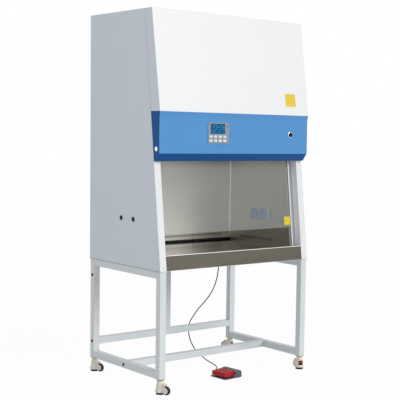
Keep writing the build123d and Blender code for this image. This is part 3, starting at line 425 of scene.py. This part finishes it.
corners = ("front_left", "rear_left", "front_right", "rear_right")
assign(coverEnamel(), "upper_cover")
assign(panelEnamel(), "side_panel_left", "side_panel_right", "rear_panel", "top_panel", "exhaust_grille")
assign(powderCoat("post_enamel", paint["post"]), "front_posts")
assign(powderCoat("stand_enamel", paint["stand"]), "stand_side_frames", "stand_crossbars")
assign(brushedSteel("sheet_steel", steel["sheet"], 0.38, (0.10, 0.10, 26.0), 0.05),
       "rear_liner", "side_liners")
assign(lipSteel(), "front_sump")
assign(worktopSteel(), "work_tray", "intake_grille")
assign(galvanised("galvanised_sheet", steel["zinc"]), "base_pan", "plenum_box", "diffuser_screen")
assign(brushedSteel("zinc_plate", steel["zinc"], 0.33, (12.0, 1.0, 1.0)), "sash_motor", "fan_motor")
assign(guideAluminium(), "sash_guides", "sash_carrier")
assign(brushedSteel("yellow_passivate", steel["passivated"], 0.30, (3.0, 3.0, 3.0)), "caster_mounts")
assign(brushedSteel("chrome_plate", steel["chrome"], 0.09, (2.0, 2.0, 2.0), 0.02), "lock_fittings")
assign(fasciaPlastic(), "control_fascia")
assign(moulded("module_plastic", plastic["module"], 0.38), "control_module")
assign(moulded("key_plastic", plastic["key"], 0.34, 0.05),
       *[f"control_key_{number}" for number in range(1, 9)])
assign(litDisplay(), "display_screen")
assign(moulded("black_plastic", plastic["plug"], 0.46, gloss=0.15), "black_plugs", "cable_glands")
assign(moulded("barrel_plastic", plastic["plug"], 0.40, 0.04, gloss=0.15), "key_barrel")
assign(moulded("fan_plastic", plastic["fan"], 0.5), "fan_impeller")
assign(moulded("socket_plastic", plastic["socket"], 0.40), "socket_bodies")
assign(moulded("lid_plastic", plastic["lid"], 0.34), "socket_lid_rear", "socket_lid_front")
assign(sashGlass(), "sash_glass")
assign(filterPaper(), "supply_filter", "exhaust_filter")
assign(lampGlass(), "lamp_tubes")
assign(casterShell(), *[f"caster_housing_{corner}" for corner in corners])
for corner in corners:
    assign(wheelFinish(corner), f"caster_wheel_{corner}")
assign(dialAndSole(), *[f"levelling_foot_{corner}" for corner in corners])
assign(moulded("switch_housing", plastic["switch"], 0.45, 0.3, 400.0), "foot_switch_base")
assign(moulded("treadle_plastic", plastic["treadle"], 0.42, 0.06, gloss=0.22), "treadle")
print("finishes assigned")

softened = dict(upper_cover=0.0012, side_panel_left=0.0006, side_panel_right=0.0006,
                front_posts=0.0016, stand_side_frames=0.0022, stand_crossbars=0.0022,
                front_sump=0.0010, treadle=0.0016, foot_switch_base=0.0008,
                control_module=0.0005)
for name, width in softened.items():
    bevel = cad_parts[name].modifiers.new("softened", "BEVEL")
    bevel.width = width
    bevel.segments = 3
    bevel.limit_method = "ANGLE"
    bevel.angle_limit = radians(40.0)
    bevel.use_clamp_overlap = True
    bevel.harden_normals = False
print("edges softened")

# The foot switch cord, on the CAD route's own points in millimetres.
mm = 0.001
cord = dict(diameter=0.007, length=1.325,
            route=[(215, 85, 676), (215, 85, 620), (215, 96, 562), (215, 116, 508), (215, 146, 458),
                   (215, 186, 412), (214, 232, 370), (214, 280, 331), (213, 322, 290),
                   (213, 356, 252), (214, 386, 222), (215, 399, 182), (215, 400, 136),
                   (216, 382, 94), (217, 346, 54), (219, 300, 20), (222, 244, 3.7),
                   (200, 190, 3.7), (180, 132, 3.7), (163, 70, 3.7), (143, 9, 3.7),
                   (113, -47, 3.7), (68, -88, 8), (49.12, -131.18, 14), (51.91, -171.08, 14)])


def addPiece(name, mesh, material, body):
    piece = bpy.data.objects.new(name, mesh)
    bpy.context.scene.collection.objects.link(piece)
    mesh.materials.append(material)
    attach(piece, body)


def slab(name, outline, thickness, frameMatrix):
    count = len(outline)
    near = [frameMatrix @ Vector((x, y, 0.0)) for x, y in outline]
    far = [frameMatrix @ Vector((x, y, thickness)) for x, y in outline]
    sides = [(i, (i + 1) % count, count + (i + 1) % count, count + i) for i in range(count)]
    mesh = bpy.data.meshes.new(name)
    mesh.from_pydata(near + far, [], [tuple(range(count - 1, -1, -1)),
                                      tuple(range(count, 2 * count))] + sides)
    return mesh


def roundedRectangle(width, height, radius, steps=6):
    outline = []
    for corner, (sx, sy) in enumerate(((1, 1), (-1, 1), (-1, -1), (1, -1))):
        centre = (sx * (width / 2 - radius), sy * (height / 2 - radius))
        for step in range(steps + 1):
            angle = (corner + step / steps) * pi / 2
            outline.append((centre[0] + radius * cos(angle), centre[1] + radius * sin(angle)))
    return outline


# Plain yellow patches without a symbol, on the cover and on the pane.
patch = dict(cover=dict(x=0.4135, z=1.671, width=0.081, height=0.078, radius=0.006, thickness=0.0004),
             pane=dict(x=0.451, z=0.932, width=0.050, height=0.052, radius=0.006, thickness=0.0003))
coverFace = dict(foot=(1.580, -0.35744), head=(2.146, -0.27052))
paneDepth = 0.05137


def yellowPatches():
    material = moulded("yellow_film", plastic["yellow"], 0.45, 0.03)
    footZ, footY = coverFace["foot"]
    headZ, headY = coverFace["head"]
    lean = (headY - footY) / (headZ - footZ)
    spots = (("cover_patch", patch["cover"], footY + lean * (patch["cover"]["z"] - footZ), lean,
              "front_cover"),
             ("pane_patch", patch["pane"],
              cabinet["front"] + cabinet["lean"] * (patch["pane"]["z"] - cabinet["base"]) + paneDepth,
              cabinet["lean"], "sash"))
    for name, spot, y, slope, body in spots:
        upward = Vector((0.0, slope, 1.0)).normalized()
        outward = Vector((0.0, -1.0, slope)).normalized()
        across = upward.cross(outward)
        axes = Matrix((across, upward, outward)).transposed().to_4x4()
        place = Matrix.Translation((spot["x"], y, spot["z"])) @ axes
        outline = roundedRectangle(spot["width"], spot["height"], spot["radius"])
        addPiece(name, slab(name, outline, spot["thickness"], place), material, body)


# Coves of paler, smoother steel round off the chamber's rear corners; the coves are real, their paler colour
# is a painted highlight along the corners.
cove = dict(radius=0.008, wall=0.470, back=0.297, low=0.832, high=1.330, steps=6,
            colour=(0.60, 0.59, 0.56))


def cornerCoves():
    material = brushedSteel("cove_steel", cove["colour"], 0.26, (8.0, 8.0, 0.6))
    radius = cove["radius"]
    arc = [(radius - radius * sin(step / cove["steps"] * pi / 2),
            radius - radius * cos(step / cove["steps"] * pi / 2)) for step in range(cove["steps"] + 1)]
    for side, name in ((1, "right_cove"), (-1, "left_cove")):
        outline = [(side * (cove["wall"] - a), cove["back"] - b) for a, b in arc]
        outline.append((side * cove["wall"], cove["back"]))
        if side < 0:
            outline.reverse()
        mesh = slab(name, outline, cove["high"] - cove["low"],
                    Matrix.Translation((0.0, 0.0, cove["low"])))
        addPiece(name, mesh, material, "cabinet")


class Growth(Graph):
    def __init__(self, name, **values):
        self.tree = bpy.data.node_groups.new(name, "GeometryNodeTree")
        face = self.tree.interface
        face.new_socket("Geometry", in_out="INPUT", socket_type="NodeSocketGeometry")
        face.new_socket("Geometry", in_out="OUTPUT", socket_type="NodeSocketGeometry")
        self.values = {}
        for label, value in values.items():
            kind = "NodeSocketInt" if isinstance(value, int) else "NodeSocketFloat"
            entry = face.new_socket(label, in_out="INPUT", socket_type=kind)
            self.values[entry.identifier] = value
        self.source = self.tree.nodes.new("NodeGroupInput")
        self.sink = self.tree.nodes.new("NodeGroupOutput")

    def given(self, label):
        return Wire(self.tree, self.source.outputs[label])

    def vector(self, x=0.0, y=0.0, z=0.0):
        return self.node("ShaderNodeCombineXYZ", inputs={"X": x, "Y": y, "Z": z})

    def scattered(self, instance):
        spin = self.node("FunctionNodeRandomValue", 1, {2: 0.0, 3: 2 * pi, "Seed": self.given("Seed")},
                         data_type="FLOAT")
        turned = self.node("FunctionNodeEulerToRotation", inputs={0: self.vector(z=spin)})
        way = self.node("GeometryNodeInputNamedAttribute", inputs={"Name": "outward"},
                        data_type="FLOAT_VECTOR")
        facing = self.node("FunctionNodeAlignRotationToVector", inputs={"Rotation": turned, "Vector": way},
                           axis="Z")
        return self.node("GeometryNodeInstanceOnPoints", inputs={
            "Points": self.given("Geometry"), "Instance": instance, "Rotation": facing})

    def grow(self, name, spots, instance, material):
        solid = self.node("GeometryNodeRealizeInstances", inputs={"Geometry": self.scattered(instance)})
        painted = self.node("GeometryNodeSetMaterial", inputs={"Geometry": solid, "Material": material})
        self.tree.links.new(painted.socket, self.sink.inputs[0])
        mesh = bpy.data.meshes.new(name)
        mesh.from_pydata([place for place, way in spots], [], [])
        ways = mesh.attributes.new("outward", "FLOAT_VECTOR", "POINT")
        for entry, (place, way) in zip(ways.data, spots):
            entry.vector = way
        carrier = bpy.data.objects.new(name, mesh)
        bpy.context.scene.collection.objects.link(carrier)
        modifier = carrier.modifiers.new("grown", "NODES")
        modifier.node_group = self.tree
        for identifier, value in self.values.items():
            modifier[identifier] = value
        view = bpy.context.evaluated_depsgraph_get()
        grown = bpy.data.meshes.new_from_object(carrier.evaluated_get(view), depsgraph=view)
        carrier.modifiers.clear()
        carrier.data = grown
        return carrier


screw = dict(headRadius=0.0034, headHeight=0.0018, socketRadius=0.0016, seed=5,
             postX=0.527, postZ=(0.713, 1.290), sillY=-0.372, sillZ=0.672,
             backX=0.535, backY=0.375, backFirst=0.730, backStep=0.228, backCount=7,
             roofX=0.520, roofY=(-0.150, 0.100, 0.350), barX=0.168, barY=0.332, barZ=0.189)


def screwPlaces():
    lean = cabinet["lean"]
    outOfFront = Vector((0.0, -1.0, lean)).normalized()
    places = []
    for side in (-1, 1):
        for z in screw["postZ"]:
            front = cabinet["front"] + lean * (z - cabinet["base"])
            places.append(((side * screw["postX"], front, z), outOfFront))
        places.append(((side * screw["postX"], screw["sillY"], screw["sillZ"]), (0.0, -1.0, 0.0)))
    for side in (-1, 1):
        for step in range(screw["backCount"]):
            z = screw["backFirst"] + step * screw["backStep"]
            places.append(((side * screw["backX"], screw["backY"], z), (0.0, 1.0, 0.0)))
    for side in (-1, 1):
        for y in screw["roofY"]:
            places.append(((side * screw["roofX"], y, cabinet["top"]), (0.0, 0.0, 1.0)))
    for side in (-1, 1):
        places.append(((side * screw["barX"], screw["barY"], screw["barZ"]), (0.0, -1.0, 0.0)))
    return places


def addScrews():
    heads = Growth("screw_heads", Radius=screw["headRadius"], Height=screw["headHeight"],
                   Seed=screw["seed"])
    radius, height = heads.given("Radius"), heads.given("Height")
    ball = heads.node("GeometryNodeMeshUVSphere", inputs={"Segments": 20, "Rings": 10, "Radius": radius})
    dome = heads.node("GeometryNodeTransform", inputs={
        "Geometry": ball, "Scale": heads.vector(1.0, 1.0, height / radius)})
    smooth = heads.node("GeometryNodeSetShadeSmooth", inputs={"Geometry": dome})
    zinc = brushedSteel("screw_zinc", steel["zinc"], 0.25, (1.0, 1.0, 1.0))
    sockets = Growth("screw_sockets", Socket=screw["socketRadius"], Depth=2.02 * screw["headHeight"],
                     Seed=screw["seed"])
    hexagon = sockets.node("GeometryNodeMeshCylinder", inputs={
        "Vertices": 6, "Radius": sockets.given("Socket"), "Depth": sockets.given("Depth")})
    # Black hexagons sunk in the heads stand for the sockets: painted shade in the screw sockets.
    socketShade = moulded("screw_recess", plastic["black"], 0.6)
    for name, growth, shape, material in (("fixing_screws", heads, smooth, zinc),
                                          ("screw_recesses", sockets, hexagon, socketShade)):
        grown = growth.grow(name, screwPlaces(), shape, material)
        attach(grown, "cabinet")


weld = dict(bead=0.0016, step=0.0030, tube=0.040, leg=(0.527, 0.352), floorRail=0.106, topRail=0.672,
            rearBar=0.187, midBar=-0.003, seed=11)


def weldRing(centre, normal):
    half = weld["tube"] / 2
    first = Vector((0.0, 0.0, 1.0)) if abs(normal[2]) < 0.5 else Vector((1.0, 0.0, 0.0))
    second = Vector(normal).cross(first)
    count = int(weld["tube"] / weld["step"])
    ring = []
    for along, across in ((first, second), (second, -first), (-first, -second), (-second, first)):
        for step in range(count):
            offset = along * half + across * (-half + (step + 0.5) * weld["tube"] / count)
            ring.append((tuple(Vector(centre) + offset), tuple(normal)))
    return ring


def weldPlaces():
    legX, legY = weld["leg"]
    half = weld["tube"] / 2
    rings = []
    for sideX in (-1, 1):
        for sideY in (-1, 1):
            for z in (weld["floorRail"], weld["topRail"]):
                rings += weldRing((sideX * legX, sideY * (legY - half), z), (0.0, -sideY, 0.0))
        for y, z in ((legY, weld["topRail"]), (legY, weld["rearBar"]), (weld["midBar"], weld["floorRail"])):
            rings += weldRing((sideX * (legX - half), y, z), (-sideX, 0.0, 0.0))
    rings += weldRing((0.0, legY, weld["rearBar"] + half), (0.0, 0.0, 1.0))
    rings += weldRing((0.0, legY, weld["topRail"] - half), (0.0, 0.0, -1.0))
    return rings


def addWelds():
    growth = Growth("weld_ripples", Bead=weld["bead"], Seed=weld["seed"])
    ball = growth.node("GeometryNodeMeshIcoSphere", inputs={"Radius": growth.given("Bead"),
                                                            "Subdivisions": 2})
    flat = growth.node("GeometryNodeTransform", inputs={"Geometry": ball,
                                                        "Scale": growth.vector(1.2, 1.2, 0.8)})
    smooth = growth.node("GeometryNodeSetShadeSmooth", inputs={"Geometry": flat})
    carrier = growth.grow("weld_beads", weldPlaces(), smooth, powderCoat("weld_enamel", paint["stand"]))
    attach(carrier, "cabinet")


switch = dict(place=(0.027, -0.245), turn=4.0, rimNear=0.0203, rimThickness=0.0020, rimHalf=0.064,
              rimFoot=0.0055, rimTop=0.0440, rimRadius=0.012)


def switchRim():
    width = 2 * switch["rimHalf"]
    height = 2 * (switch["rimTop"] - switch["rimFoot"])
    arch = [(a, b) for a, b in roundedRectangle(width, height, switch["rimRadius"]) if b >= 0]
    arch += [(-switch["rimHalf"], 0.0), (switch["rimHalf"], 0.0)]
    upright = Matrix(((0, 0, 1, 0), (1, 0, 0, 0), (0, 1, 0, 0), (0, 0, 0, 1)))
    place = (Matrix.Translation((*switch["place"], 0.0)) @ Matrix.Rotation(radians(switch["turn"]), 4, "Z")
             @ Matrix.Translation((switch["rimNear"], 0.0, switch["rimFoot"])) @ upright)
    mesh = slab("switch_rim", arch, switch["rimThickness"], place)
    addPiece("switch_rim", mesh, brushedSteel("rim_steel", (0.55, 0.55, 0.55), 0.35, (1.0, 1.0, 1.0)),
             "cabinet")


collar = dict(x=0.409, y=-0.35655, z=1.462, depth=0.0017, outer=0.0145, inner=0.0106, rim=0.0006,
              steps=48)


def keyCollar():
    rim, depth = collar["rim"], collar["depth"]
    profile = ((collar["inner"], 0.0), (collar["outer"], 0.0), (collar["outer"], depth - rim),
               (collar["outer"] - rim, depth), (collar["inner"], depth))
    steps, count = collar["steps"], len(profile)
    points = [(collar["x"] + radius * cos(2 * pi * step / steps), collar["y"] - forward,
               collar["z"] + radius * sin(2 * pi * step / steps))
              for step in range(steps) for radius, forward in profile]
    faces = [(step * count + i, (step + 1) % steps * count + i,
              (step + 1) % steps * count + (i + 1) % count, step * count + (i + 1) % count)
             for step in range(steps) for i in range(count)]
    mesh = bpy.data.meshes.new("key_collar")
    mesh.from_pydata(points, [], faces)
    mesh.shade_smooth()
    mesh.set_sharp_from_angle(angle=radians(35.0))
    addPiece("key_collar", mesh, moulded("collar_plastic", plastic["plug"], 0.42, 0.04, gloss=0.12),
             "key_switch")


yellowPatches()
keyCollar()
cornerCoves()
addScrews()
addWelds()
switchRim()
print("details added")


def drawCord():
    line = bpy.data.curves.new("foot_switch_flex", "CURVE")
    line.dimensions = "3D"
    line.bevel_depth = cord["diameter"] / 2
    line.bevel_resolution = 4
    line.resolution_u = 6
    line.use_fill_caps = True
    spline = line.splines.new("NURBS")
    spline.points.add(len(cord["route"]) - 1)
    for point, (x, y, z) in zip(spline.points, cord["route"]):
        point.co = (x * mm, y * mm, z * mm, 1.0)
    spline.order_u = 3
    spline.use_endpoint_u = True
    flex = bpy.data.objects.new("foot_switch_flex", line)
    bpy.context.scene.collection.objects.link(flex)
    line.materials.append(moulded("cord_sheath", plastic["cord"], 0.5, 0.1, 300.0))
    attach(flex, "cabinet")
    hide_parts("foot_switch_cord")


drawCord()
print("cord drawn")


def aimed(place, aim):
    return (Vector(aim) - Vector(place)).to_track_quat("-Z", "Y")


def lightStudio():
    sun = bpy.data.lights.new("key_light", "SUN")
    sun.energy = sunLight["strength"]
    sun.angle = radians(sunLight["angle"])
    lamp = bpy.data.objects.new("key_light", sun)
    lamp.rotation_mode = "QUATERNION"
    lamp.rotation_quaternion = aimed(sunLight["toward"], (0.0, 0.0, 0.0))
    bpy.context.scene.collection.objects.link(lamp)
    soft = bpy.data.lights.new("fill_light", "AREA")
    soft.energy = fillLight["power"]
    soft.size = fillLight["size"]
    panel = bpy.data.objects.new("fill_light", soft)
    panel.location = fillLight["place"]
    panel.rotation_mode = "QUATERNION"
    panel.rotation_quaternion = aimed(fillLight["place"], fillLight["aim"])
    bpy.context.scene.collection.objects.link(panel)


# One where a ray comes from the camera, a mirror or the glass, and nought where it only lights.
def seenDirectly(tree):
    path = tree.nodes.new("ShaderNodeLightPath")
    seen = Wire(tree, path.outputs["Is Camera Ray"])
    for kind in ("Glossy", "Transmission"):
        seen = seen.math("MAXIMUM", Wire(tree, path.outputs[f"Is {kind} Ray"]))
    return seen


def paleWorld():
    world = bpy.data.worlds.new("studio")
    bpy.context.scene.world = world
    world.use_nodes = True
    tree = world.node_tree
    tree.nodes.clear()
    seen = seenDirectly(tree)
    sky = tree.nodes.new("ShaderNodeBackground")
    sky.inputs["Color"].default_value = (1.0, 1.0, 1.0, 1.0)
    feed(tree, sky.inputs["Strength"], worldLight["onSurfaces"]
         + seen * (worldLight["seen"] - worldLight["onSurfaces"]))
    output = tree.nodes.new("ShaderNodeOutputWorld")
    tree.links.new(sky.outputs[0], output.inputs[0])


def paleFloor():
    half = floorPlane["half"]
    mesh = bpy.data.meshes.new("studio_floor")
    mesh.from_pydata([(-half, -half, 0), (half, -half, 0), (half, half, 0), (-half, half, 0)], [],
                     [(0, 1, 2, 3)])
    floor = bpy.data.objects.new("studio_floor", mesh)
    bpy.context.scene.collection.objects.link(floor)
    paper = Finish("studio_paper", Roughness=0.9, Specular_IOR_Level=0.1)
    albedo = floorPlane["albedo"]
    paper.set(Base_Color=(albedo, albedo, albedo))
    glow = paper.node("ShaderNodeEmission", inputs={"Color": (1.0, 1.0, 1.0), "Strength": 1.0})
    blend = paper.tree.nodes.new("ShaderNodeMixShader")
    feed(paper.tree, blend.inputs[0], seenDirectly(paper.tree) * floorPlane["ownWhite"])
    paper.tree.links.new(paper.shader.outputs[0], blend.inputs[1])
    paper.tree.links.new(glow.socket, blend.inputs[2])
    paper.tree.links.new(blend.outputs[0], paper.output.inputs[0])
    mesh.materials.append(paper.material)


def photoCamera():
    yaw, pitch, roll = (radians(photo[name]) for name in ("yaw", "pitch", "roll"))
    forward = Vector((sin(yaw) * cos(pitch), cos(yaw) * cos(pitch), sin(pitch)))
    right = Vector((cos(yaw), -sin(yaw), 0.0))
    up = right.cross(forward)
    rolledRight = right * cos(roll) + up * sin(roll)
    rolledUp = up * cos(roll) - right * sin(roll)
    lens = bpy.data.cameras.new("photo_camera")
    lens.lens = photo["lens"]
    lens.sensor_width = 36.0
    lens.shift_x, lens.shift_y = photo["shift"]
    lens.clip_end = 200.0
    camera = bpy.data.objects.new("photo_camera", lens)
    camera.matrix_world = Matrix.Translation(photo["place"]) @ Matrix(
        (rolledRight, rolledUp, -forward)).transposed().to_4x4()
    bpy.context.scene.collection.objects.link(camera)
    bpy.context.scene.camera = camera


lightStudio()
paleWorld()
paleFloor()
photoCamera()
bpy.context.scene.view_settings.view_transform = "Standard"
print("studio set")
